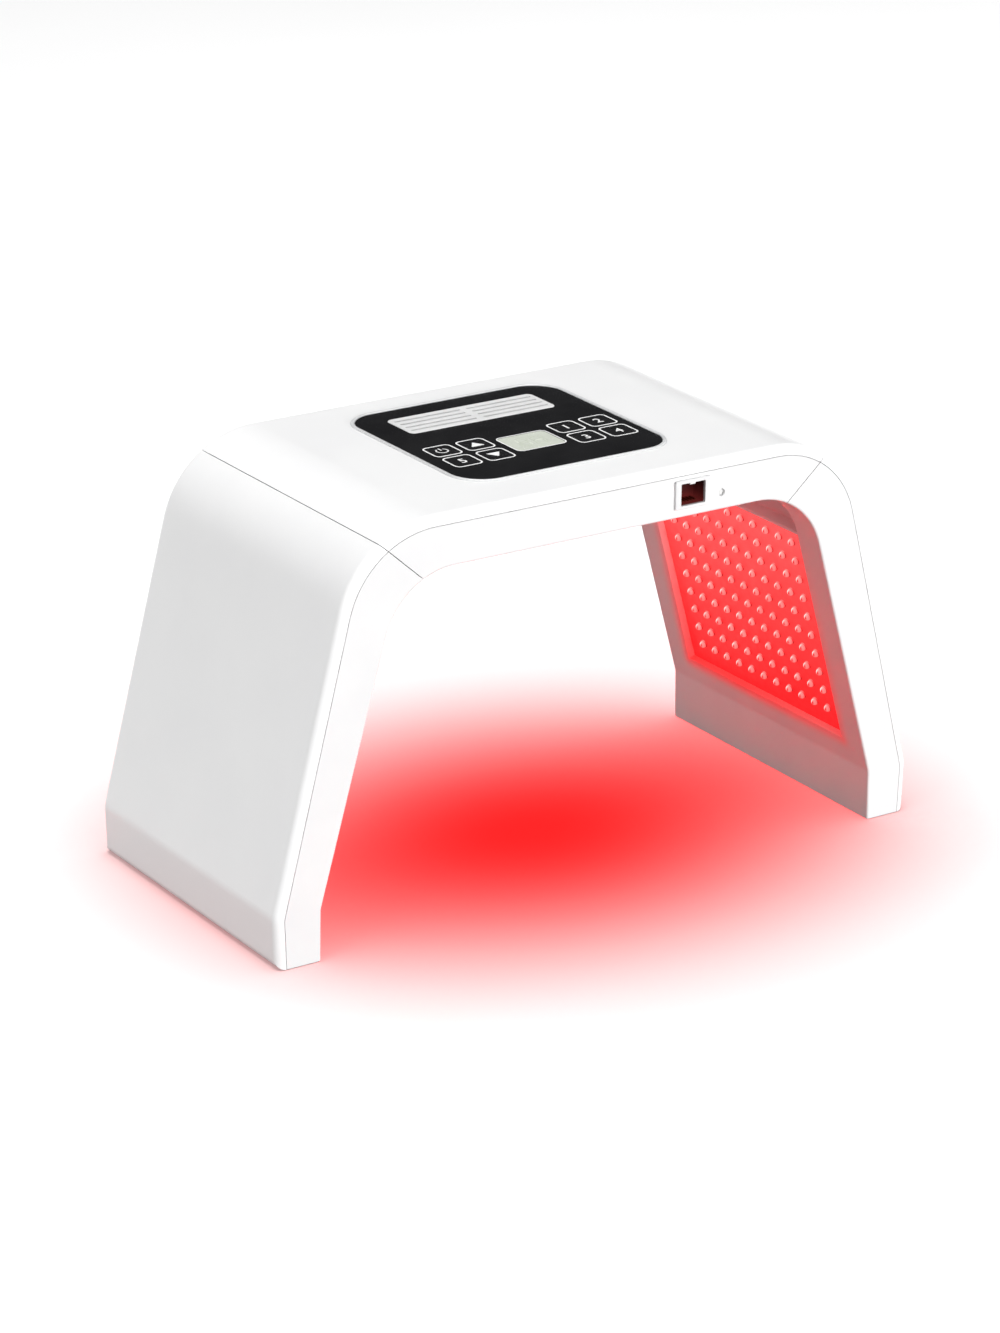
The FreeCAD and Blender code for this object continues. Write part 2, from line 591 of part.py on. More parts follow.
grille = slab(0, VENT_Y, VENT_W - 0.2, VENT_D - 0.2, 3.3, 219.6, 222.6)
grille = soften(grille, top_edges(grille, 222.6), 0.4)
for x0, x1 in ((-42.4, -1.9), (1.9, 42.4)):
    for k in (-1.5, -0.5, 0.5, 1.5):
        grille = grille.cut(slab((x0 + x1) / 2, VENT_Y + k * 5.45, x1 - x0, 2.1, 1.0, 215, 226))
flange = slab(0, VENT_Y, VENT_W + 3, VENT_D + 3, 4.5, 219.4, 220.15).cut(
    slab(0, VENT_Y, VENT_W - 8, VENT_D - 5, 2.5, 218, 221))
grille = fuse([grille, flange])
for x in (-12.0, 12.0):
    for dy in (-12.0, 12.0):
        grille = grille.fuse(cyl(2.0, 219.9 - FAN_Z1, V(x, VENT_Y + dy, FAN_Z1), V(0, 0, 1)))
grille = grille.removeSplitter()
save("vent_grille", grille)

lens = slab(DISP_X, DISP_Y, DISP_W - 0.2, DISP_D - 0.2, 2.9, 220.0, 222.15)
lens = fuse([lens, slab(DISP_X, DISP_Y, DISP_W + 2.4, DISP_D + 2.4, 3.5, 219.3, 220.15)])
save("display_window", lens)
save("display_module", slab(DISP_X, DISP_Y, 31.0, 25.0, 1.0, PCB_Z1, 219.25))

# ---------------------------------------------------------------- keys
NAMES = {(0, 0): "key_power", (1, 0): "key_up", (0, 1): "key_infrared", (1, 1): "key_down",
         (2, 0): "key_red", (3, 0): "key_green", (2, 1): "key_blue", (3, 1): "key_cycle"}
for (i, j), name in NAMES.items():
    x, y = KEY_X[i], KEY_Y[j]
    cap = slab(x, y, KEY, KEY, KEY_R, FAS_BOT - 0.4, FAS_TOP + 0.05)
    cap = soften(cap, top_edges(cap, FAS_TOP + 0.05), 0.25)
    lip = slab(x, y, KEY + 1.0, KEY + 1.0, 3.8, FAS_BOT - 0.95, FAS_BOT - 0.1)
    stem = cyl(1.5, 3.6, V(x, y, 216.2), V(0, 0, 1))
    save(name, fuse([cap, lip, stem]))

# ---------------------------------------------------------------- control board
pcb = slab(0, (PCB_Y0 + PCB_Y1) / 2, 2 * PCB_X, PCB_Y1 - PCB_Y0, 2.0, PCB_Z0, PCB_Z1)
for x in (-62.2, 62.2):
    for y in (-37.0, 9.2):
        pcb = pcb.cut(cyl(1.4, 6, V(x, y, PCB_Z0 - 2), V(0, 0, 1)))
save("control_board", pcb)
sw = []
for x in KEY_X:
    for y in KEY_Y:
        s = slab(x, y, 6.0, 6.0, 0.5, PCB_Z1, 217.2).cut(cyl(1.8, 3, V(x, y, 215.4), V(0, 0, 1)))
        sw.append(s)
save("tact_switches", Part.makeCompound(sw))
bs = [screw_at(V(x, y, PCB_Z0), V(0, 0, 1), 5.0, r=1.2, head_r=2.2, head_h=1.5)
      for x in (-62.2, 62.2) for y in (-37.0, 9.2)]
save("control_board_screws", Part.makeCompound(bs))
chips = [box(-50, -36, -36, -22, PCB_Z0 - 1.4, PCB_Z0), box(20, 32, -34, -26, PCB_Z0 - 2.4, PCB_Z0),
         box(-8, 8, -34, -18, PCB_Z0 - 1.6, PCB_Z0),
         cyl(4.0, 8.5, V(42, 2, PCB_Z0 - 8.5), V(0, 0, 1)), cyl(4.0, 8.5, V(-42, 2, PCB_Z0 - 8.5), V(0, 0, 1))]
save("control_board_chips", Part.makeCompound(chips))

# ---------------------------------------------------------------- fan
fan = slab(0, VENT_Y, FAN, FAN, 2.5, FAN_Z0, FAN_Z1).cut(cyl(14.0, 20, V(0, VENT_Y, FAN_Z0 - 5), V(0, 0, 1)))
hub = cyl(6.5, 1.6, V(0, VENT_Y, FAN_Z0), V(0, 0, 1))
arms = []
for k in range(3):
    a = box(5.5, 14.4, -0.9, 0.9, 0, 1.6)
    a.rotate(V(0, 0, 0), V(0, 0, 1), 30 + 120 * k)
    a.translate(V(0, VENT_Y, FAN_Z0))
    arms.append(a)
fan = fuse([fan, hub] + arms)
fan = fan.cut(cyl(0.75, 4, V(0, VENT_Y, FAN_Z0 - 1), V(0, 0, 1)))
save("fan_frame", fan)
rotor = cyl(7.2, 6.2, V(0, VENT_Y, FAN_Z0 + 2.0), V(0, 0, 1))
rotor = rotor.fuse(cyl(0.7, 2.2, V(0, VENT_Y, FAN_Z0 + 0.1), V(0, 0, 1)))
blades = []
for k in range(7):
    b = box(6.6, 13.2, -0.55, 0.55, -3.0, 3.0)
    b.rotate(V(0, 0, 0), V(1, 0, 0), 42)
    b = b.common(cyl(13.2, 12, V(0, 0, -6), V(0, 0, 1)))
    b.rotate(V(0, 0, 0), V(0, 0, 1), k * 360 / 7)
    b.translate(V(0, VENT_Y, FAN_Z0 + 5.2))
    blades.append(b)
rotor = fuse([rotor] + blades)
save("fan_rotor", rotor)

# ---------------------------------------------------------------- socket, light, inlet
collar = front_slab(SOCK_X, SOCK_Z, 21.6, 15.4, 1.0, -HALF - 1.6, -HALF)
front_e = [e for e in collar.Edges if all(abs(v.Y + HALF + 1.6) < 1e-3 for v in e.Vertexes)]
collar = soften(collar, front_e, 0.5)
collar = collar.cut(front_slab(SOCK_X, SOCK_Z, SOCK_W, SOCK_H, 0.5, -HALF - 5, -HALF + 2))
save("socket_collar", collar)
sock = front_slab(SOCK_X, SOCK_Z, SOCK_W + 2.4, SOCK_H + 2.4, 1.1, -HALF, -79.7)
sock = sock.cut(front_slab(SOCK_X, SOCK_Z, SOCK_W, SOCK_H, 0.5, -HALF - 2, -80.9))
save("accessory_socket", sock)
latch = box(SOCK_X - 1.7, SOCK_X + 1.7, -HALF - 0.9, -81.1, SOCK_Z + SOCK_H / 2 - 1.1, SOCK_Z + SOCK_H / 2 - 0.02)
save("socket_key_rib", latch)
pinsv = []
for k in range(6):
    x = SOCK_X - 5 + 2 * k
    pinsv.append(box(x - 0.4, x + 0.4, -86.0, -80.92, SOCK_Z - SOCK_H / 2 + 0.02, SOCK_Z - SOCK_H / 2 + 0.7))
save("socket_contacts", Part.makeCompound(pinsv))
pipe = cyl(LIGHT_R, 8.4, V(LIGHT_X, -HALF + 1.3, LIGHT_Z), V(0, 1, 0))
front_e = [e for e in pipe.Edges if all(abs(v.Y + HALF - 1.3) < 1e-3 for v in e.Vertexes)]
pipe = soften(pipe, front_e, 0.8)
pipe = fuse([pipe, cyl(3.2, 1.2, V(LIGHT_X, -HALF + SIDE + 0.05, LIGHT_Z), V(0, 1, 0))])
save("status_light", pipe)

inlet = cyl(5.9, 1.6, V(INLET_X, HALF, INLET_Z), V(0, 1, 0))
e = [x for x in inlet.Edges if all(abs(v.Y - HALF - 1.6) < 1e-3 for v in x.Vertexes)]
inlet = soften(inlet, e, 0.6)
inlet = fuse([inlet, cyl(4.4, 12.0, V(INLET_X, HALF - 11.9, INLET_Z), V(0, 1, 0))])
inlet = inlet.cut(cyl(3.1, 10.6, V(INLET_X, HALF - 8.9, INLET_Z), V(0, 1, 0)))
save("power_inlet", inlet)
pin = cyl(1.0, 9.3, V(INLET_X, HALF - 8.9, INLET_Z), V(0, 1, 0))
e = [x for x in pin.Edges if all(abs(v.Y - HALF - 0.4) < 1e-3 for v in x.Vertexes)]
save("power_inlet_pin", soften(pin, e, 0.4))
print("hinge axis", AX, AZ, "floor check", wing(0, 0))
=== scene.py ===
import json
import math
import random

import bmesh
import bpy
from mathutils import Matrix, Vector

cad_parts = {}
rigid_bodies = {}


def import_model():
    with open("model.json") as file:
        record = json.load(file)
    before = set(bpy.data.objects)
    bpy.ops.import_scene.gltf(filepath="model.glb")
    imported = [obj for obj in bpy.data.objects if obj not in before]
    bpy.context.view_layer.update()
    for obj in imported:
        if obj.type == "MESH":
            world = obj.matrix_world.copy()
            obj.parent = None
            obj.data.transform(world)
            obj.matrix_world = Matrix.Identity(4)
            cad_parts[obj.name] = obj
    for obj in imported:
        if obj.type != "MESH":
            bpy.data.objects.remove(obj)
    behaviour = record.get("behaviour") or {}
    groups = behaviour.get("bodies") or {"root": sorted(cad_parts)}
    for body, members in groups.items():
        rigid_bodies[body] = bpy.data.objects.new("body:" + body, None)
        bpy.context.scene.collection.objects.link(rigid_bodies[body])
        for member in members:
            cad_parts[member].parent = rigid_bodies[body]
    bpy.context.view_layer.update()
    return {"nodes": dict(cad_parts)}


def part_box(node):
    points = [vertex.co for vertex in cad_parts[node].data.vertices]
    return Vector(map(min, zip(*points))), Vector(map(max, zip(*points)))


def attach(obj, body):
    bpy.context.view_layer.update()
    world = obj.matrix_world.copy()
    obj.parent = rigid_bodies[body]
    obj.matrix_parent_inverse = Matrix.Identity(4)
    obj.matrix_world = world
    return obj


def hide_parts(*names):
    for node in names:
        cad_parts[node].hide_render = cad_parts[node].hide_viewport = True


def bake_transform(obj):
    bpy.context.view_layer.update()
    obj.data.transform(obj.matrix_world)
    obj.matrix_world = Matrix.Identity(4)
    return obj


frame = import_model()
NODES = frame["nodes"]
MM = 0.001
rnd = random.Random(7)
# strength of the red lamp-light pool painted on the floor
POOL = 0.975
scene = bpy.context.scene


# ------------------------------------------------------------------ shader kit
def new_mat(name, color=(0.8, 0.8, 0.8), rough=0.4, metal=0.0, **sockets):
    m = bpy.data.materials.new(name)
    m.use_nodes = True
    nt = m.node_tree
    b = nt.nodes["Principled BSDF"]
    b.inputs["Base Color"].default_value = (*color[:3], 1.0)
    b.inputs["Roughness"].default_value = rough
    b.inputs["Metallic"].default_value = metal
    for k, v in sockets.items():
        b.inputs[k].default_value = v
    m.diffuse_color = (*color[:3], 1.0)
    return m, nt, b


def coords(nt):
    n = nt.nodes.new("ShaderNodeTexCoord")
    return n.outputs["Object"]


def noise(nt, scale, detail=2.0, rough=0.5, vector=None):
    n = nt.nodes.new("ShaderNodeTexNoise")
    n.inputs["Scale"].default_value = scale
    n.inputs["Detail"].default_value = detail
    n.inputs["Roughness"].default_value = rough
    nt.links.new(vector or coords(nt), n.inputs["Vector"])
    return n.outputs["Fac"]


def ramp(nt, fac, stops):
    r = nt.nodes.new("ShaderNodeValToRGB")
    els = r.color_ramp.elements
    while len(els) > 1:
        els.remove(els[-1])
    els[0].position, els[0].color = stops[0][0], (*stops[0][1], 1)
    for p, c in stops[1:]:
        e = els.new(p)
        e.color = (*c, 1)
    nt.links.new(fac, r.inputs["Fac"])
    return r.outputs["Color"]


def remap(nt, fac, lo, hi, a=0.0, b=1.0):
    n = nt.nodes.new("ShaderNodeMapRange")
    n.inputs["From Min"].default_value = a
    n.inputs["From Max"].default_value = b
    n.inputs["To Min"].default_value = lo
    n.inputs["To Max"].default_value = hi
    nt.links.new(fac, n.inputs["Value"])
    return n.outputs["Result"]


def bump(nt, b, height, strength=0.1, distance=0.0002):
    n = nt.nodes.new("ShaderNodeBump")
    n.inputs["Strength"].default_value = strength
    n.inputs["Distance"].default_value = distance
    nt.links.new(height, n.inputs["Height"])
    nt.links.new(n.outputs["Normal"], b.inputs["Normal"])
    return n


def plastic(name, c0, c1, r0, r1, scale=38.0, grain=0.0, grain_scale=2600.0, coat=0.0, coat_rough=0.1, **kw):
    """Moulded plastic: slow drift of colour and gloss, with a fine moulded grain."""
    m, nt, b = new_mat(name, c0, r0, **kw)
    f = noise(nt, scale, 3.0)
    nt.links.new(ramp(nt, f, [(0.35, c0), (0.68, c1)]), b.inputs["Base Color"])
    f2 = noise(nt, scale * 3.1, 4.0, 0.6)
    nt.links.new(remap(nt, f2, r0, r1, 0.3, 0.7), b.inputs["Roughness"])
    b.inputs["Coat Weight"].default_value = coat
    b.inputs["Coat Roughness"].default_value = coat_rough
    if grain:
        bump(nt, b, noise(nt, grain_scale, 2.0), grain, 0.00006)
    return m


# ------------------------------------------------------------------- materials
shell = plastic("shell_white_gloss", (0.865, 0.865, 0.868), (0.885, 0.885, 0.885), 0.28, 0.34, scale=18,
                coat=0.15, coat_rough=0.10)
# socket collar: a slightly darker copy of the shell white, as painted shade
collar_white = plastic("collar_white", (0.80, 0.80, 0.805), (0.84, 0.84, 0.84), 0.34, 0.42, scale=60, grain=0.03, grain_scale=4200)
# vent grille: white plastic, coloured light grey here as painted shade in the slotted grille
grille_white = plastic("grille_white", (0.66, 0.66, 0.66), (0.70, 0.70, 0.70), 0.42, 0.52, scale=60, grain=0.04, grain_scale=4200)
# louvre blades: white plastic, coloured dark grey as painted shade inside the slots
louvre_painted_shade = plastic("louvre_painted_shade", (0.30, 0.30, 0.305), (0.36, 0.36, 0.365), 0.5, 0.6, scale=80, grain=0.04, grain_scale=4200)
fascia_black = plastic("fascia_black_gloss", (0.007, 0.007, 0.008), (0.011, 0.011, 0.012), 0.16, 0.26, scale=45,
                       grain=0.03, grain_scale=1800, coat=0.0)
fascia_black.node_tree.nodes["Principled BSDF"].inputs["Specular IOR Level"].default_value = 0.22
key_black = plastic("key_black_gloss", (0.008, 0.008, 0.009), (0.012, 0.012, 0.013), 0.20, 0.30, scale=80,
                    grain=0.05, grain_scale=3200, coat=0.0)
key_black.node_tree.nodes["Principled BSDF"].inputs["Specular IOR Level"].default_value = 0.22
black_matte = plastic("moulded_black", (0.020, 0.020, 0.021), (0.032, 0.032, 0.033), 0.42, 0.56, scale=120, grain=0.12)
print_white = plastic("print_white", (0.80, 0.80, 0.80), (0.88, 0.88, 0.88), 0.38, 0.5, scale=300)
rubber = plastic("foot_rubber_grey", (0.20, 0.20, 0.205), (0.26, 0.26, 0.265), 0.72, 0.86, scale=160, grain=0.3)
light_milky = plastic("light_milky", (0.74, 0.74, 0.73), (0.80, 0.80, 0.79), 0.22, 0.3, scale=200, coat=0.4)
ribbon_m = plastic("ribbon_grey", (0.50, 0.50, 0.51), (0.60, 0.60, 0.61), 0.40, 0.5, scale=260)

silver, nt, b = new_mat("ring_satin_silver", (0.74, 0.745, 0.75), 0.36, 0.25)
st = nt.nodes.new("ShaderNodeMapping")
nt.links.new(coords(nt), st.inputs["Vector"])
st.inputs["Scale"].default_value = (1.0, 1.0, 6.0)
f = noise(nt, 420, 5.0, 0.65, st.outputs["Vector"])
nt.links.new(ramp(nt, f, [(0.3, (0.66, 0.665, 0.67)), (0.7, (0.78, 0.785, 0.79))]), b.inputs["Base Color"])
nt.links.new(remap(nt, f, 0.30, 0.44, 0.3, 0.7), b.inputs["Roughness"])
bump(nt, b, f, 0.06, 0.00005)

steel, nt, b = new_mat("zinc_steel", (0.56, 0.56, 0.57), 0.3, 1.0)
f = noise(nt, 700, 4.0, 0.6)
nt.links.new(ramp(nt, f, [(0.3, (0.46, 0.46, 0.47)), (0.72, (0.66, 0.66, 0.66))]), b.inputs["Base Color"])
nt.links.new(remap(nt, f, 0.22, 0.42, 0.3, 0.7), b.inputs["Roughness"])

# socket contacts: brass, darkened and reddened as painted shade and painted red lamp light inside the socket
brass_painted_red_shade, nt, b = new_mat("contact_painted_red_shade", (0.22, 0.07, 0.04), 0.4, 0.9)
f = noise(nt, 900, 3.0)
nt.links.new(ramp(nt, f, [(0.3, (0.16, 0.05, 0.03)), (0.7, (0.27, 0.09, 0.05))]), b.inputs["Base Color"])
nt.links.new(remap(nt, f, 0.34, 0.5, 0.3, 0.7), b.inputs["Roughness"])

brass, nt, b = new_mat("contact_brass", (0.80, 0.62, 0.28), 0.3, 1.0)
f = noise(nt, 900, 3.0)
nt.links.new(ramp(nt, f, [(0.3, (0.72, 0.54, 0.22)), (0.7, (0.86, 0.68, 0.34))]), b.inputs["Base Color"])
nt.links.new(remap(nt, f, 0.2, 0.36, 0.3, 0.7), b.inputs["Roughness"])

pcb, nt, b = new_mat("solder_mask_green", (0.03, 0.20, 0.08), 0.35)
f = noise(nt, 160, 4.0)
nt.links.new(ramp(nt, f, [(0.3, (0.02, 0.15, 0.06)), (0.7, (0.04, 0.23, 0.09))]), b.inputs["Base Color"])
nt.links.new(remap(nt, f, 0.28, 0.44, 0.3, 0.7), b.inputs["Roughness"])

ANG = math.atan2(46.7, 166.7)
U = Vector((-math.sin(ANG), 0, math.cos(ANG)))      # up the right wing's inner face
P = Vector((math.cos(ANG), 0, math.sin(ANG)))       # out through its thickness
FOOT_BEND = Vector((170.6, 0, 28.0)) * MM


def vmath(nt, op, a, c):
    n = nt.nodes.new("ShaderNodeVectorMath")
    n.operation = op
    nt.links.new(a, n.inputs[0])
    n.inputs[1].default_value = c
    return n


def smath(nt, op, *args):
    n = nt.nodes.new("ShaderNodeMath")
    n.operation = op
    for i, v in enumerate(args):
        if isinstance(v, (int, float)):
            n.inputs[i].default_value = v
        else:
            nt.links.new(v, n.inputs[i])
    return n.outputs[0]


def along(nt, origin, axis):
    """Distance along axis from origin, in metres, in the node's own frame."""
    d = vmath(nt, "SUBTRACT", coords(nt), tuple(origin))
    return vmath(nt, "DOT_PRODUCT", d.outputs["Vector"], tuple(axis)).outputs["Value"]


def frame_mat(name, origin, axis, lo, hi):
    """White moulded frame with painted red lamp light spilling over the edges of its window, as a red tint and a faint
    red glow in its colour.
    """
    m, nt, b = new_mat(name, (0.85, 0.85, 0.85), 0.4)
    white = ramp(nt, noise(nt, 30, 3.0), [(0.35, (0.84, 0.84, 0.845)), (0.68, (0.87, 0.87, 0.87))])
    nt.links.new(remap(nt, noise(nt, 90, 4.0, 0.6), 0.36, 0.46, 0.3, 0.7), b.inputs["Roughness"])
    b.inputs["Specular IOR Level"].default_value = 0.18
    v = along(nt, origin, axis)
    y = along(nt, (0, 0, 0), (0, 1, 0))
    mid, half = (lo + hi) / 2, (hi - lo) / 2
    dv = smath(nt, "MAXIMUM", smath(nt, "SUBTRACT", smath(nt, "ABSOLUTE", smath(nt, "SUBTRACT", v, mid)), half), 0.0)
    dy = smath(nt, "MAXIMUM", smath(nt, "SUBTRACT", smath(nt, "ABSOLUTE", y), 0.0707), 0.0)
    d = smath(nt, "SQRT", smath(nt, "ADD", smath(nt, "MULTIPLY", dv, dv), smath(nt, "MULTIPLY", dy, dy)))
    g = smath(nt, "EXPONENT", smath(nt, "MULTIPLY", smath(nt, "MULTIPLY", d, d), -1 / 0.0000200))
    # the painted spill is strongest at the window's foot and towards the back
    low = smath(nt, "MINIMUM", smath(nt, "MAXIMUM", smath(nt, "MULTIPLY_ADD", smath(nt, "SUBTRACT", v, mid), -0.32 / half, 0.46), 0.0), 1.0)
    g = smath(nt, "MULTIPLY", smath(nt, "MULTIPLY", g, low), remap(nt, y, 0.55, 1.0, -0.07, 0.02))
    mx = nt.nodes.new("ShaderNodeMix")
    mx.data_type = "RGBA"
    nt.links.new(g, mx.inputs["Factor"])
    nt.links.new(white, mx.inputs["A"])
    mx.inputs["B"].default_value = (0.72, 0.03, 0.03, 1)
    nt.links.new(mx.outputs["Result"], b.inputs["Base Color"])
    nt.links.new(ramp(nt, g, [(0.0, (0, 0, 0)), (1.0, (0.85, 0.016, 0.018))]), b.inputs["Emission Color"])
    b.inputs["Emission Strength"].default_value = 0.55
    return m


inner_top_m = frame_mat("frame_white_top", (0, 0, 0), (1, 0, 0), -0.0755, 0.0755)
inner_right_m = frame_mat("frame_white_right", FOOT_BEND, U, 0.0145, 0.1405)
inner_left_m = frame_mat("frame_white_left", (-FOOT_BEND.x, 0, FOOT_BEND.z), (-U.x, 0, U.z), 0.0145, 0.1405)


def board_mat(name, origin, axis, lo, hi):
    """Lit board: its red colour and red glow are painted lamp light, paler towards its upper end."""
    m, nt, b = new_mat(name, (0.55, 0.03, 0.035), 0.45)
    v = remap(nt, along(nt, origin, axis), 0.0, 1.0, lo, hi)
    f = smath(nt, "ADD", v, smath(nt, "MULTIPLY", smath(nt, "SUBTRACT", noise(nt, 22, 2.0), 0.5), 0.25))
    nt.links.new(ramp(nt, f, [(0.0, (0.56, 0.020, 0.022)), (1.0, (0.60, 0.05, 0.055))]), b.inputs["Base Color"])
    nt.links.new(ramp(nt, f, [(0.05, (0.95, 0.018, 0.022)), (0.5, (0.93, 0.050, 0.052)), (1.0, (0.90, 0.105, 0.105))]), b.inputs["Emission Color"])
    b.inputs["Emission Strength"].default_value = 0.78
    nt.links.new(remap(nt, noise(nt, 260, 3.0), 0.42, 0.55, 0.3, 0.7), b.inputs["Roughness"])
    b.inputs["Specular IOR Level"].default_value = 0.25
    return m


board_top_m = board_mat("board_lit_top", (0, 0, 0), (1, 0, 0), -0.08, 0.08)
board_right_m = board_mat("board_lit_right", FOOT_BEND, U, 0.0145, 0.1405)
board_left_m = board_mat("board_lit_left", (-FOOT_BEND.x, 0, FOOT_BEND.z), (-U.x, 0, U.z), 0.0145, 0.1405)

# the socket's liner: black, with painted red lamp light in its colour and a faint red glow, strongest towards its
# floor
liner, nt, b = new_mat("socket_liner", (0.02, 0.01, 0.01), 0.4)
z = remap(nt, along(nt, (0, 0, 0), (0, 0, 1)), 0.0, 1.0, 0.2013, 0.2131)
z = smath(nt, "ADD", z, smath(nt, "MULTIPLY", smath(nt, "SUBTRACT", noise(nt, 240, 2.0), 0.5), 0.2))
nt.links.new(ramp(nt, z, [(0.0, (0.05, 0.006, 0.006)), (1.0, (0.008, 0.007, 0.007))]), b.inputs["Base Color"])
nt.links.new(ramp(nt, z, [(0.0, (0.16, 0.02, 0.018)), (0.35, (0.06, 0.007, 0.007)), (0.75, (0.015, 0.002, 0.002)), (1.0, (0.0, 0.0, 0.0))]), b.inputs["Emission Color"])
b.inputs["Emission Strength"].default_value = 0.45
b.inputs["Specular IOR Level"].default_value = 0.2

# lamp dome: clear epoxy over a cup and die; each vertex of the mesh carries its own colour: the glowing cup shows
# through round a dark die, with a pale rim; its bright lobe on one side is a painted highlight, the darker side
# opposite painted shade
lamp_mat, nt, b = new_mat("lamp_dome_lit", (0.95, 0.30, 0.30), 0.14)
at = nt.nodes.new("ShaderNodeAttribute")
at.attribute_name = "lamp"
wob = smath(nt, "MULTIPLY_ADD", smath(nt, "SUBTRACT", noise(nt, 300, 1.0), 0.5), 0.10, at.outputs["Fac"])
stops = [(0.0, (0.16, 0.008, 0.010)), (0.16, (0.30, 0.012, 0.014)), (0.34, (0.72, 0.035, 0.038)), (0.50, (0.88, 0.10, 0.10)),
         (0.68, (0.97, 0.26, 0.25)), (0.84, (1.0, 0.55, 0.52)), (1.0, (1.0, 0.86, 0.82))]
nt.links.new(ramp(nt, wob, [(p0, (c[0] * 0.6, c[1] * 0.6, c[2] * 0.6)) for p0, c in stops]), b.inputs["Base Color"])
nt.links.new(ramp(nt, wob, stops), b.inputs["Emission Color"])
b.inputs["Emission Strength"].default_value = 0.9
b.inputs["Specular IOR Level"].default_value = 0.35
b.inputs["Coat Weight"].default_value = 0.3
b.inputs["Coat Roughness"].default_value = 0.05

# display: pale reflective liquid crystal behind a clear window
lcd, nt, b = new_mat("display_pale", (0.66, 0.70, 0.61), 0.22)
f = noise(nt, 90, 3.0)
nt.links.new(ramp(nt, f, [(0.3, (0.67, 0.71, 0.62)), (0.7, (0.72, 0.76, 0.67))]), b.inputs["Base Color"])
nt.links.new(remap(nt, noise(nt, 700, 2.0), 0.18, 0.28, 0.3, 0.7), b.inputs["Roughness"])
b.inputs["Coat Weight"].default_value = 0.6
b.inputs["Coat Roughness"].default_value = 0.03
segment = plastic("display_segment", (0.52, 0.56, 0.47), (0.55, 0.59, 0.50), 0.3, 0.38, scale=300)
segment_off = plastic("display_segment_faint", (0.62, 0.66, 0.57), (0.65, 0.69, 0.60), 0.3, 0.38, scale=300)

ASSIGN = {
    shell: ["top_cover", "left_outer_cover", "right_outer_cover"],
    collar_white: ["socket_collar", "socket_key_rib"],
    inner_top_m: ["top_inner_frame"],
    inner_left_m: ["left_inner_frame"],
    inner_right_m: ["right_inner_frame"],
    grille_white: ["vent_grille"],
    fascia_black: ["control_fascia"],
    key_black: ["key_power", "key_up", "key_down", "key_infrared", "key_red", "key_green", "key_blue", "key_cycle"],
    silver: ["fascia_ring"],
    lcd: ["display_window"],
    black_matte: ["display_module", "fan_frame", "fan_rotor", "control_board_chips", "tact_switches", "ribbon_sockets",
                  "left_ribbon_socket", "right_ribbon_socket", "power_inlet"],
    liner: ["accessory_socket"],
    pcb: ["control_board"],
    board_top_m: ["top_led_board"],
    board_left_m: ["left_led_board"],
    board_right_m: ["right_led_board"],
    lamp_mat: ["top_led_lenses", "left_led_lenses", "right_led_lenses"],
    steel: ["top_board_screws", "left_board_screws", "right_board_screws", "top_case_screws", "left_case_screws",
            "right_case_screws", "control_board_screws", "left_hinge_pins", "right_hinge_pins"],
    brass: ["power_inlet_pin"],
    brass_painted_red_shade: ["socket_contacts"],
    rubber: ["left_foot_pads", "right_foot_pads"],
    ribbon_m: ["left_ribbon", "right_ribbon"],
    light_milky: ["status_light"],
}
for mat, names in ASSIGN.items():
    for n in names:
        o = NODES[n]
        if not o.material_slots:
            o.data.materials.append(mat)
        for s in o.material_slots:
            s.material = mat


# ------------------------------------------------------------------ mesh helpers
def mesh_object(name, verts, faces, mat, smooth=True):
    me = bpy.data.meshes.new(name)
    me.from_pydata([tuple(v) for v in verts], [], faces)
    me.update()
    me.materials.append(mat)
    for p in me.polygons:
        p.use_smooth = smooth
    o = bpy.data.objects.new(name, me)
    scene.collection.objects.link(o)
    return o


def rounded_rect(w, h, r, n=7):
    pts = []
    for cx, cy, a0 in ((w / 2 - r, h / 2 - r, 0), (-w / 2 + r, h / 2 - r, 90), (-w / 2 + r, -h / 2 + r, 180), (w / 2 - r, -h / 2 + r, 270)):
        for k in range(n + 1):
            a = math.radians(a0 + 90 * k / n)
            pts.append((cx + r * math.cos(a), cy + r * math.sin(a)))
    return pts


class Build:
    """Collects flat prisms and rings into one mesh."""

    def __init__(self):
        self.v, self.f = [], []

    def prism(self, pts, z0, z1):
        """Closed prism from a counter-clockwise outline."""
        n, s = len(pts), len(self.v)
        self.v += [(x, y, z0) for x, y in pts] + [(x, y, z1) for x, y in pts]
        self.f.append([s + n + i for i in range(n)])
        self.f.append([s + n - 1 - i for i in range(n)])
        for i in range(n):
            j = (i + 1) % n
            self.f.append([s + i, s + j, s + n + j, s + n + i])

    def ring(self, outer, inner, z0, z1):
        """Closed ring between two outlines of equal length."""
        n, s = len(outer), len(self.v)
        for pts, z in ((outer, z0), (outer, z1), (inner, z1), (inner, z0)):
            self.v += [(x, y, z) for x, y in pts]
        for i in range(n):
            j = (i + 1) % n
            for k in range(4):
                a, b2 = s + k * n, s + ((k + 1) % 4) * n
                self.f.append([a + i, a + j, b2 + j, b2 + i])

    def done(self, name, mat, smooth=False):
        return mesh_object(name, self.v, self.f, mat, smooth)


def shift(pts, dx, dy):
    return [(x + dx, y + dy) for x, y in pts]


def bar(x0, y0, x1, y1, w):
    """Outline of a straight stroke with square ends."""
    d = Vector((x1 - x0, y1 - y0)).normalized()
    n = Vector((-d.y, d.x)) * (w / 2)
    return [(x0 - n.x, y0 - n.y), (x1 - n.x, y1 - n.y), (x1 + n.x, y1 + n.y), (x0 + n.x, y0 + n.y)]


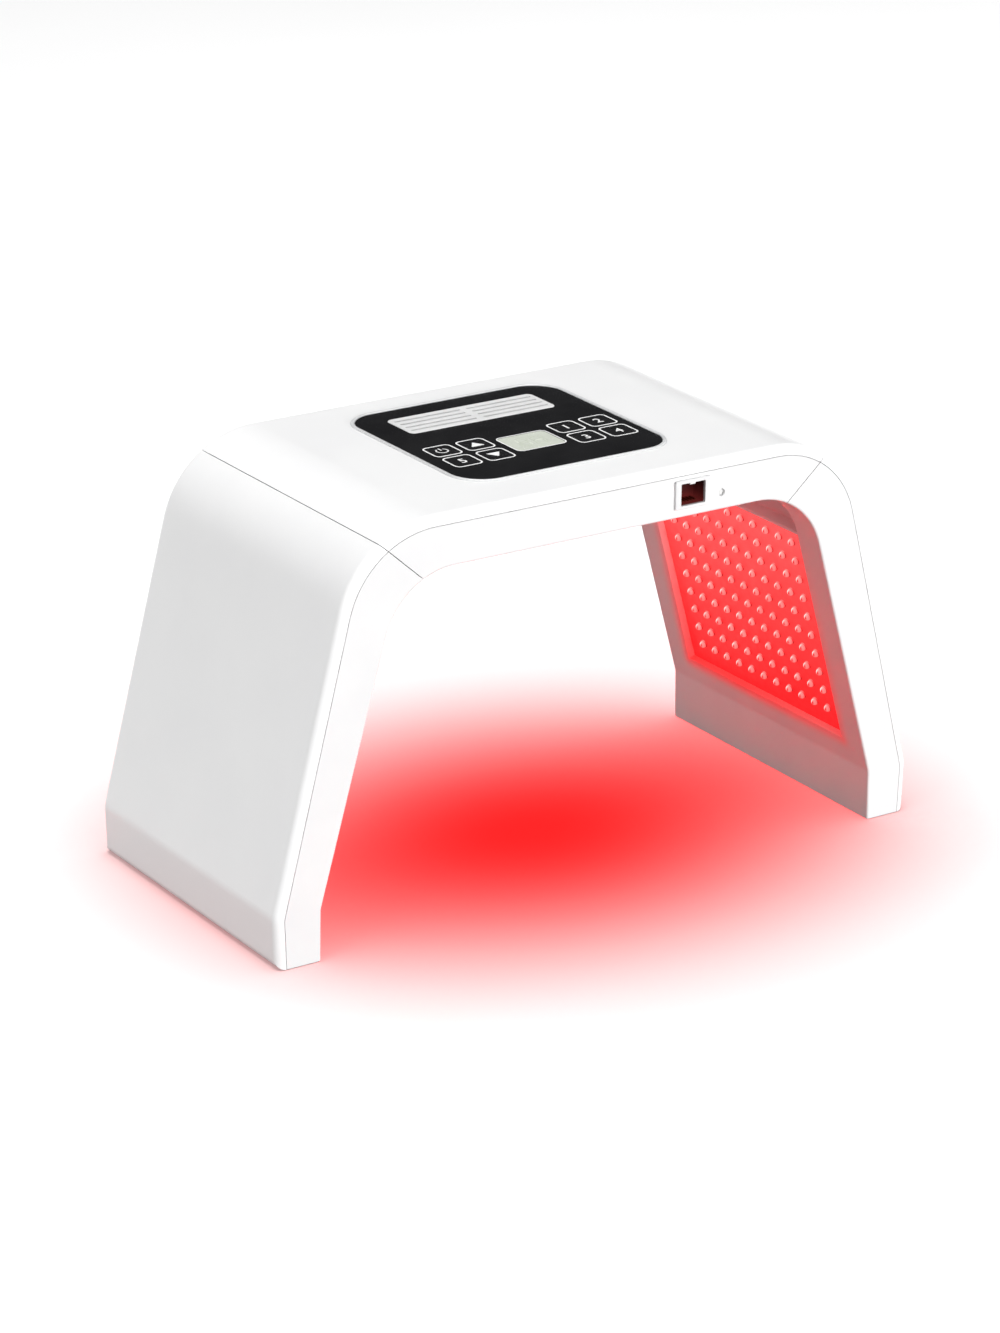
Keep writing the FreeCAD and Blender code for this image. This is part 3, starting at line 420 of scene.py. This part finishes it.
def digit(text, size, z0, z1, cx, cy, name, mat):
    """A plain numeral as a closed mesh, centred on (cx, cy)."""
    cu = bpy.data.curves.new(name + "_c", "FONT")
    cu.body = text
    cu.size = size
    cu.align_x, cu.align_y = "CENTER", "CENTER"
    cu.extrude = (z1 - z0) / 2
    cu.resolution_u = 6
    cu.offset = size * 0.012
    t = bpy.data.objects.new(name + "_t", cu)
    scene.collection.objects.link(t)
    bpy.context.view_layer.update()
    me = bpy.data.meshes.new_from_object(t.evaluated_get(bpy.context.evaluated_depsgraph_get()))
    bpy.data.objects.remove(t)
    lo = Vector((min(v.co.x for v in me.vertices), min(v.co.y for v in me.vertices)))
    hi = Vector((max(v.co.x for v in me.vertices), max(v.co.y for v in me.vertices)))
    c = (lo + hi) / 2
    for v in me.vertices:
        v.co = (v.co.x - c.x + cx, v.co.y - c.y + cy, v.co.z + (z0 + z1) / 2)
    bm = bmesh.new()
    bm.from_mesh(me)
    bmesh.ops.remove_doubles(bm, verts=bm.verts, dist=1e-6)
    bmesh.ops.recalc_face_normals(bm, faces=bm.faces)
    bm.to_mesh(me)
    bm.free()
    me.materials.clear()
    me.materials.append(mat)
    me.name = name
    o = bpy.data.objects.new(name, me)
    scene.collection.objects.link(o)
    return o


# ---------------------------------------------------------------------- keypad
INK = 0.04 * MM
LABEL = {"key_red": "1", "key_green": "2", "key_blue": "3", "key_cycle": "4", "key_infrared": "5"}
for key in ("key_power", "key_up", "key_down", "key_infrared", "key_red", "key_green", "key_blue", "key_cycle"):
    lo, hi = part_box(key)
    cx, cy, top = (lo.x + hi.x) / 2, (lo.y + hi.y) / 2, hi.z
    bd = Build()
    bd.ring(shift(rounded_rect(16.7 * MM, 16.7 * MM, 3.3 * MM), cx, cy), shift(rounded_rect(14.9 * MM, 14.9 * MM, 2.5 * MM), cx, cy),
            top - 0.02 * MM, top + INK)
    if key in ("key_up", "key_down"):
        s = 1 if key == "key_up" else -1
        tri = [(-4.1 * MM, -2.9 * MM * s), (4.1 * MM, -2.9 * MM * s), (0, 3.3 * MM * s)]
        if s < 0:
            tri.reverse()
        # blunt the three corners
        pts = []
        for i in range(3):
            p, a, c = Vector(tri[i]), Vector(tri[i - 1]), Vector(tri[(i + 1) % 3])
            pts.append(tuple(p + (a - p).normalized() * 0.5 * MM))
            pts.append(tuple(p + (c - p).normalized() * 0.5 * MM))
        bd.prism(shift(pts, cx, cy), top - 0.02 * MM, top + INK)
    if key == "key_power":
        # broken circle with a bar in the gap
        ro, ri, n = 3.5 * MM, 2.8 * MM, 30
        a0, a1 = math.radians(90 + 34), math.radians(450 - 34)
        arc = [(ro * math.cos(a0 + (a1 - a0) * i / n), ro * math.sin(a0 + (a1 - a0) * i / n)) for i in range(n + 1)]
        arc_in = [(ri * math.cos(a0 + (a1 - a0) * i / n), ri * math.sin(a0 + (a1 - a0) * i / n)) for i in range(n + 1)]
        for i in range(n):
            quad = [arc_in[i], arc[i], arc[i + 1], arc_in[i + 1]]
            bd.prism(shift(quad, cx - 0.2 * MM, cy), top - 0.02 * MM, top + INK)
        bd.prism(shift(bar(-0.2 * MM, 0.6 * MM, -0.2 * MM, 4.1 * MM, 0.75 * MM)[::1], cx, cy), top - 0.02 * MM, top + INK)
    o = bd.done("mark_" + key[4:], print_white)
    bm = bmesh.new()
    bm.from_mesh(o.data)
    bmesh.ops.remove_doubles(bm, verts=bm.verts, dist=1e-7)
    bmesh.ops.recalc_face_normals(bm, faces=bm.faces)
    bm.to_mesh(o.data)
    bm.free()
    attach(o, key)
    if key in LABEL:
        d = digit(LABEL[key], 8.6 * MM, top - 0.02 * MM, top + INK, cx, cy, "numeral_" + LABEL[key], print_white)
        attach(d, key)

# white line printed round the display
lo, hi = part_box("display_window")
dx, dy, dtop = (lo.x + hi.x) / 2, (lo.y + hi.y) / 2, hi.z
bd = Build()
fas_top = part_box("control_fascia")[1].z
W, H = 29.2 * MM, 23.2 * MM
bd.ring(shift(rounded_rect(W + 1.5 * MM, H + 1.5 * MM, 3.7 * MM), dx, dy), shift(rounded_rect(W + 0.05 * MM, H + 0.05 * MM, 3.0 * MM), dx, dy),
        fas_top - 0.02 * MM, fas_top + INK)
o = bd.done("mark_display_line", print_white)
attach(o, "center")

# two seven-segment figures and a colon-free gap on the display
SEG = {"0": "abcdef", "1": "bc", "2": "abged", "3": "abgcd", "5": "afgcd", "8": "abcdefg"}


def seven(bd_on, bd_off, ch, cx, cy, w, h, t):
    lean = 0.10
    g = 0.12 * t
    segs = {
        "a": (-w / 2 + g, h / 2, w / 2 - g, h / 2), "d": (-w / 2 + g, -h / 2, w / 2 - g, -h / 2), "g": (-w / 2 + g, 0, w / 2 - g, 0),
        "f": (-w / 2, g, -w / 2, h / 2 - g), "b": (w / 2, g, w / 2, h / 2 - g),
        "e": (-w / 2, -h / 2 + g, -w / 2, -g), "c": (w / 2, -h / 2 + g, w / 2, -g)}
    for k, (x0, y0, x1, y1) in segs.items():
        d = Vector((x1 - x0, y1 - y0)).normalized()
        n = Vector((-d.y, d.x)) * t / 2
        a, b2 = Vector((x0, y0)) + d * t * 0.15, Vector((x1, y1)) - d * t * 0.15
        pts = [a, a + d * t / 2 - n, b2 - d * t / 2 - n, b2, b2 - d * t / 2 + n, a + d * t / 2 + n]
        pts = [(p.x + lean * p.y + cx, p.y + cy) for p in pts]
        (bd_on if k in SEG[ch] else bd_off).prism(pts, dtop - 0.015 * MM, dtop + 0.02 * MM)


on, off = Build(), Build()
for i, ch in enumerate("20"):
    seven(on, off, ch, dx + (-4.6 + 9.2 * i) * MM, dy, 5.6 * MM, 11.4 * MM, 1.25 * MM)
for bd, nm, mt in ((on, "display_figures", segment), (off, "display_figures_faint", segment_off)):
    o = bd.done(nm, mt)
    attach(o, "center")

# ------------------------------------------------------------- vent louvre blades
lo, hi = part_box("vent_grille")
vy = (lo.y + hi.y) / 2
lv, lf = [], []
for x0, x1 in ((-42.6, -1.7), (1.7, 42.6)):
    for k in (-1.5, -0.5, 0.5, 1.5):
        yc = vy + k * 5.45 * MM
        s = len(lv)
        # a blade that slopes under each slot, from its front lip down to the back
        prof = [(-1.6, 220.9), (-1.2, 221.3), (1.9, 219.9), (2.3, 219.3), (1.7, 219.0), (-1.6, 220.4)]
        n = len(prof)
        for x in (x0, x1):
            lv += [(x * MM, yc + py * MM, pz * MM) for py, pz in prof]
        lf.append([s + i for i in range(n)])
        lf.append([s + n + n - 1 - i for i in range(n)])
        for i in range(n):
            j = (i + 1) % n
            lf.append([s + i, s + n + i, s + n + j, s + j])
lou = mesh_object("vent_louvres", lv, lf, louvre_painted_shade, False)
bm = bmesh.new()
bm.from_mesh(lou.data)
bmesh.ops.recalc_face_normals(bm, faces=bm.faces)
bm.to_mesh(lou.data)
bm.free()
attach(lou, "center")

# -------------------------------------------------------------------- LED lamps
PITCH = 11.5 * MM
# half profile of one lamp: flange, wall, round nose (radius, height) in mm
PROFILE = [(2.35, 0.0), (2.35, 0.40), (2.30, 0.47), (2.02, 0.50), (1.96, 0.58), (1.96, 0.78)]
for k in range(1, 10):
    a = math.radians(90 * k / 9)
    PROFILE.append((1.96 * math.cos(a), 0.78 + 1.80 * math.sin(a)))
SIDES = 28


def tint(r, h, u, w):
    """How bright the epoxy shows at radius r and height h; u and w are the sine
    and cosine of the place round the axis, u up the board and w towards its back.
    The brighter side towards the back and up is a painted highlight; the darker side
    opposite, and the flange's dark edge there, are painted shade."""
    lobe = 0.94 * u * 0.45 + 0.9 * w            # painted highlight towards the back and up, painted shade on the opposite side
    # the flange: its darker edge on the side away from the highlight is a painted shadow
    if h < 0.5:
        return 0.62 - 0.42 * max(0.0, -lobe) + 0.05 * lobe
    if r > 1.9:
        return 0.70 + 0.12 * lobe if h > 0.55 else 0.45
    t = r / 1.96
    core = math.exp(-((t * w + 0.20) ** 2 / 0.045 + (t * u - 0.12) ** 2 / 0.13))
    v = 0.74 + 0.30 * max(0.0, lobe) - 0.10 * max(0.0, -lobe)
    return max(0.0, v * (1 - core) + 0.05 * core)


def lamps(name, places, normal, side):
    """One mesh of domed lamps. Each vertex keeps how bright its lamp shows there, with its painted highlight and
    shade.
    """
    n = Vector(normal).normalized()
    t1 = Vector(side).normalized()
    t2 = n.cross(t1)
    flip = -1.0 if t2.z < -0.1 else 1.0
    verts, faces, attr = [], [], []
    for p in places:
        base = len(verts)
        rows = PROFILE[:-1]
        gain = rnd.uniform(0.94, 1.0)
        for r, h in rows:
            for k in range(SIDES):
                a = 2 * math.pi * k / SIDES
                verts.append(p + (t1 * math.cos(a) + t2 * math.sin(a)) * r * MM + n * h * MM)
                attr.append(tint(r, h, math.sin(a) * flip, math.cos(a)) * gain)
        verts.append(p + n * PROFILE[-1][1] * MM)
        attr.append(tint(0.0, 2.58, 0.0, 0.0) * gain)
        apex = len(verts) - 1
        for i in range(len(rows) - 1):
            for k in range(SIDES):
                j = (k + 1) % SIDES
                faces.append([base + i * SIDES + k, base + i * SIDES + j, base + (i + 1) * SIDES + j, base + (i + 1) * SIDES + k])
        for k in range(SIDES):
            j = (k + 1) % SIDES
            faces.append([base + (len(rows) - 1) * SIDES + k, base + (len(rows) - 1) * SIDES + j, apex])
        faces.append([base + SIDES - 1 - k for k in range(SIDES)])
    o = mesh_object(name, verts, faces, lamp_mat)
    a = o.data.attributes.new("lamp", "FLOAT", "POINT")
    a.data.foreach_set("value", attr)
    return o


board_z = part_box("top_led_board")[0].z
places = [Vector(((i - 5.5) * PITCH, (j - 5) * PITCH, board_z)) for i in range(12) for j in range(11)]
o = lamps("top_lamps", places, (0, 0, -1), (1, 0, 0))
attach(o, "center")
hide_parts("top_led_lenses")
for side, s in (("right", 1), ("left", -1)):
    places = []
    for i in range(10):
        for j in range(11):
            q = FOOT_BEND + U * (26.6 * MM + i * PITCH) + P * 4.0 * MM
            places.append(Vector((q.x * s, (j - 5) * PITCH, q.z)))
    o = lamps(side + "_lamps", places, (-P.x * s, 0, -P.z), (0, 1, 0))
    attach(o, side + "_wing")
    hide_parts(side + "_led_lenses")

# ------------------------------------------------------------------ flat ribbons
AXIS = Vector((110.5, 190.45))
SPLIT = math.radians(42.0)


def at(m, q):
    """Point q out along the fold plane from the hinge, m across it to the wing's side."""
    return AXIS + Vector((math.cos(SPLIT), math.sin(SPLIT))) * q + Vector((math.sin(SPLIT), -math.cos(SPLIT))) * m


def on_wing(v, p):
    q = FOOT_BEND / MM + U * v + P * p
    return Vector((q.x, q.z))


ROUTE = [Vector((70.9, 210.9)), Vector((90.0, 211.4)), Vector((106.5, 208.4)), at(0, 11.6), Vector((135.6, 186.4)),
         on_wing(136, 13.4), on_wing(119, 11.4), on_wing(106.5, 10.2)]


def smooth_line(points, n=10):
    out = []
    for i in range(len(points) - 1):
        p0 = points[max(i - 1, 0)]
        p1, p2 = points[i], points[i + 1]
        p3 = points[min(i + 2, len(points) - 1)]
        for k in range(n):
            t = k / n
            out.append(0.5 * (2 * p1 + (p2 - p0) * t + (2 * p0 - 5 * p1 + 4 * p2 - p3) * t * t + (3 * p1 - p0 - 3 * p2 + p3) * t ** 3))
    out.append(points[-1])
    return out


for side, s in (("right", 1), ("left", -1)):
    line = smooth_line(ROUTE)
    # conductors show as low ribs across the ribbon's width
    prof = []
    for k in range(41):
        yy = -6.0 + 12.0 * k / 40
        prof.append((yy, 0.30 + 0.09 * abs(math.sin(math.pi * (yy + 6.0) / 1.2))))
    loop = [(yy, t) for yy, t in prof] + [(yy, -t) for yy, t in reversed(prof)]
    rv, rf = [], []
    for i, q in enumerate(line):
        d = (line[min(i + 1, len(line) - 1)] - line[max(i - 1, 0)]).normalized()
        nn = Vector((-d.y, d.x))
        for yy, t in loop:
            w = q + nn * t
            rv.append((w.x * s * MM, yy * MM, w.y * MM))
    m = len(loop)
    for i in range(len(line) - 1):
        for k in range(m):
            j = (k + 1) % m
            rf.append([i * m + k, i * m + j, (i + 1) * m + j, (i + 1) * m + k])
    rf.append(list(range(m)))
    rf.append([(len(line) - 1) * m + m - 1 - k for k in range(m)])
    rib = mesh_object(side + "_flat_ribbon", rv, rf, ribbon_m)
    bm = bmesh.new()
    bm.from_mesh(rib.data)
    bmesh.ops.recalc_face_normals(bm, faces=bm.faces)
    bm.to_mesh(rib.data)
    bm.free()
    c0, c1 = at(-11, 11.6), at(11, 11.6)
    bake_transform(rib)
    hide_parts(side + "_ribbon")

# ---------------------------------------------------------------- floor and light
floor_m, nt, b = new_mat("floor_pale", (0.93, 0.93, 0.93), 0.9)
f = noise(nt, 3.0, 2.0)
pale = ramp(nt, f, [(0.3, (0.925, 0.925, 0.925)), (0.7, (0.94, 0.94, 0.94))])
# painted pool of red lamp light on the floor: a soft red ellipse under the arch, painted into the floor's colour
mp = nt.nodes.new("ShaderNodeMapping")
nt.links.new(coords(nt), mp.inputs["Vector"])
mp.inputs["Location"].default_value = (-0.010 / 0.222, 0.010 / 0.198, 0.0)
mp.inputs["Scale"].default_value = (1 / 0.222, 1 / 0.198, 0.0)
ln = nt.nodes.new("ShaderNodeVectorMath")
ln.operation = "LENGTH"
nt.links.new(mp.outputs["Vector"], ln.inputs[0])


def math_node(op, x, y):
    n = nt.nodes.new("ShaderNodeMath")
    n.operation = op
    for i, v in enumerate((x, y)):
        if isinstance(v, (int, float)):
            n.inputs[i].default_value = v
        else:
            nt.links.new(v, n.inputs[i])
    return n.outputs[0]


pool = math_node("MULTIPLY", math_node("POWER", ln.outputs["Value"], 2.35), -1.0)
pool = math_node("POWER", 2.71828, pool)
pool = math_node("MULTIPLY", pool, POOL)
mx = nt.nodes.new("ShaderNodeMix")
mx.data_type = "RGBA"
nt.links.new(pool, mx.inputs["Factor"])
nt.links.new(pale, mx.inputs["A"])
mx.inputs["B"].default_value = (0.93, 0.012, 0.012, 1)
nt.links.new(mx.outputs["Result"], b.inputs["Base Color"])
b.inputs["Specular IOR Level"].default_value = 0.05
me = bpy.data.meshes.new("floor")
me.from_pydata([(-9, -9, 0), (9, -9, 0), (9, 9, 0), (-9, 9, 0)], [], [(0, 1, 2, 3)])
me.materials.append(floor_m)
floor = bpy.data.objects.new("floor", me)
floor.location.z = -0.00002
scene.collection.objects.link(floor)
# the floor shows and mirrors, but the soft light on the object comes from the boxes
floor.visible_diffuse = False

pieces_only = bpy.data.collections.new("lit_pieces")
for o in list(scene.objects):
    if o.type == "MESH" and o is not floor:
        pieces_only.objects.link(o)


def area(name, loc, aim, size, power, color=(1, 1, 1), size_y=None, only=None, camera=False, spread=180):
    li = bpy.data.lights.new(name, "AREA")
    li.energy = power
    li.color = color
    li.size = size
    if size_y:
        li.shape = "RECTANGLE"
        li.size_y = size_y
    li.spread = math.radians(spread)
    o = bpy.data.objects.new(name, li)
    scene.collection.objects.link(o)
    o.location = loc
    d = Vector(aim) - Vector(loc)
    o.rotation_mode = "QUATERNION"
    o.rotation_quaternion = d.to_track_quat("-Z", "Y")
    o.visible_camera = camera
    if only:
        o.light_linking.receiver_collection = only
    return o


floor_only = bpy.data.collections.new("lit_floor")
floor_only.objects.link(floor)

INNER = ("top_inner_frame", "left_inner_frame", "right_inner_frame", "top_led_board", "left_led_board", "right_led_board",
         "socket_collar", "accessory_socket")
outside = bpy.data.collections.new("lit_outside")
for o in list(scene.objects):
    if o.type == "MESH" and o not in [NODES[n] for n in INNER] and not o.name.endswith("_lamps"):
        outside.objects.link(o)

area("softbox_top", (0.0, 0.0, 2.3), (0, 0, 0), 1.9, 31, only=outside)
area("fill_front", (0.35, -2.2, 0.5), (0, 0, 0.12), 1.8, 55, size_y=1.0, only=pieces_only).visible_glossy = False
area("fill_left", (-2.2, -0.3, 0.7), (0, 0, 0.1), 1.8, 22, size_y=1.2, only=outside).visible_glossy = False
area("fill_right", (2.3, -0.2, 0.5), (0, 0, 0.1), 1.8, 17, size_y=1.0, only=outside).visible_glossy = False
back_fill = area("fill_back", (0.0, 2.3, 0.7), (0, 0, 0.1), 1.8, 26, size_y=1.1, only=pieces_only)
back_fill.visible_glossy = False

# the sheet the object stands on is lit a little more than the object
sun = bpy.data.lights.new("floor_wash", "SUN")
sun.energy = 1.3
sun.angle = math.radians(60)
wash = bpy.data.objects.new("floor_wash", sun)
scene.collection.objects.link(wash)
wash.light_linking.receiver_collection = floor_only
wash.light_linking.blocker_collection = floor_only

# the lamps' own light: a soft red panel just in front of the top board lights the
# floor, and the red pool on the floor lights the wings from below
RED = (1.0, 0.012, 0.016)
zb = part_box("top_led_board")[0].z
glow = area("glow_top", (0, 0, zb - 0.0045), (0, 0, 0), 0.138, 1.2, RED, size_y=0.126, only=floor_only, spread=130)
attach(glow, "center")
area("glow_floor", (0.0, -0.02, 0.002), (0.0, -0.02, 1.0), 0.30, 0.10, RED, size_y=0.26, only=pieces_only)

world = bpy.data.worlds.new("studio")
scene.world = world
world.use_nodes = True
nt = world.node_tree
bg = nt.nodes["Background"]
lp = nt.nodes.new("ShaderNodeLightPath")
tc = nt.nodes.new("ShaderNodeTexCoord")
sep = nt.nodes.new("ShaderNodeSeparateXYZ")
nt.links.new(tc.outputs["Generated"], sep.inputs[0])
# dim near the horizon and bright overhead, as a studio with a white ceiling
sky = ramp(nt, remap(nt, sep.outputs["Z"], 0.0, 1.0, -1.0, 1.0),
           [(0.0, (0.10, 0.10, 0.10)), (0.48, (0.12, 0.12, 0.12)), (0.62, (0.22, 0.22, 0.22)), (0.8, (0.45, 0.45, 0.45)), (1.0, (0.6, 0.6, 0.6))])
gloss = ramp(nt, remap(nt, sep.outputs["Z"], 0.0, 1.0, -1.0, 1.0),
             [(0.0, (0.5, 0.5, 0.5)), (0.49, (0.35, 0.35, 0.35)), (0.53, (0.05, 0.05, 0.05)), (0.70, (0.06, 0.06, 0.06)), (0.85, (0.5, 0.5, 0.5)), (1.0, (0.8, 0.8, 0.8))])
mg = nt.nodes.new("ShaderNodeMix")
mg.data_type = "RGBA"
nt.links.new(lp.outputs["Is Glossy Ray"], mg.inputs["Factor"])
nt.links.new(sky, mg.inputs["A"])
nt.links.new(gloss, mg.inputs["B"])
mx = nt.nodes.new("ShaderNodeMix")
mx.data_type = "RGBA"
nt.links.new(lp.outputs["Is Camera Ray"], mx.inputs["Factor"])
nt.links.new(mg.outputs["Result"], mx.inputs["A"])
mx.inputs["B"].default_value = (1, 1, 1, 1)
nt.links.new(mx.outputs["Result"], bg.inputs["Color"])
bg.inputs["Strength"].default_value = 0.8

# ------------------------------------------------------------------------ camera
cam_data = bpy.data.cameras.new("camera")
cam = bpy.data.objects.new("camera", cam_data)
scene.collection.objects.link(cam)
az, el, roll, dist = math.radians(-33.43), math.radians(20.76), math.radians(0.51), 2.3858
target = Vector((0, 0, 0.1))
back = Vector((math.sin(az) * math.cos(el), -math.cos(az) * math.cos(el), math.sin(el)))
fw = -back
right = fw.cross(Vector((0, 0, 1))).normalized()
up = right.cross(fw)
R = right * math.cos(roll) + up * math.sin(roll)
T = -right * math.sin(roll) + up * math.cos(roll)
M = Matrix((R, T, back)).transposed().to_4x4()
M.translation = target + back * dist
cam.matrix_world = M
cam_data.sensor_width = 36.0
cam_data.lens = 4540.3 / 1333 * 36.0
cam_data.shift_x = -10.7 / 1333
cam_data.shift_y = -11.5 / 1333
cam_data.clip_start, cam_data.clip_end = 0.05, 60.0
scene.camera = cam
scene.view_settings.view_transform = "Standard"
scene.view_settings.look = "None"
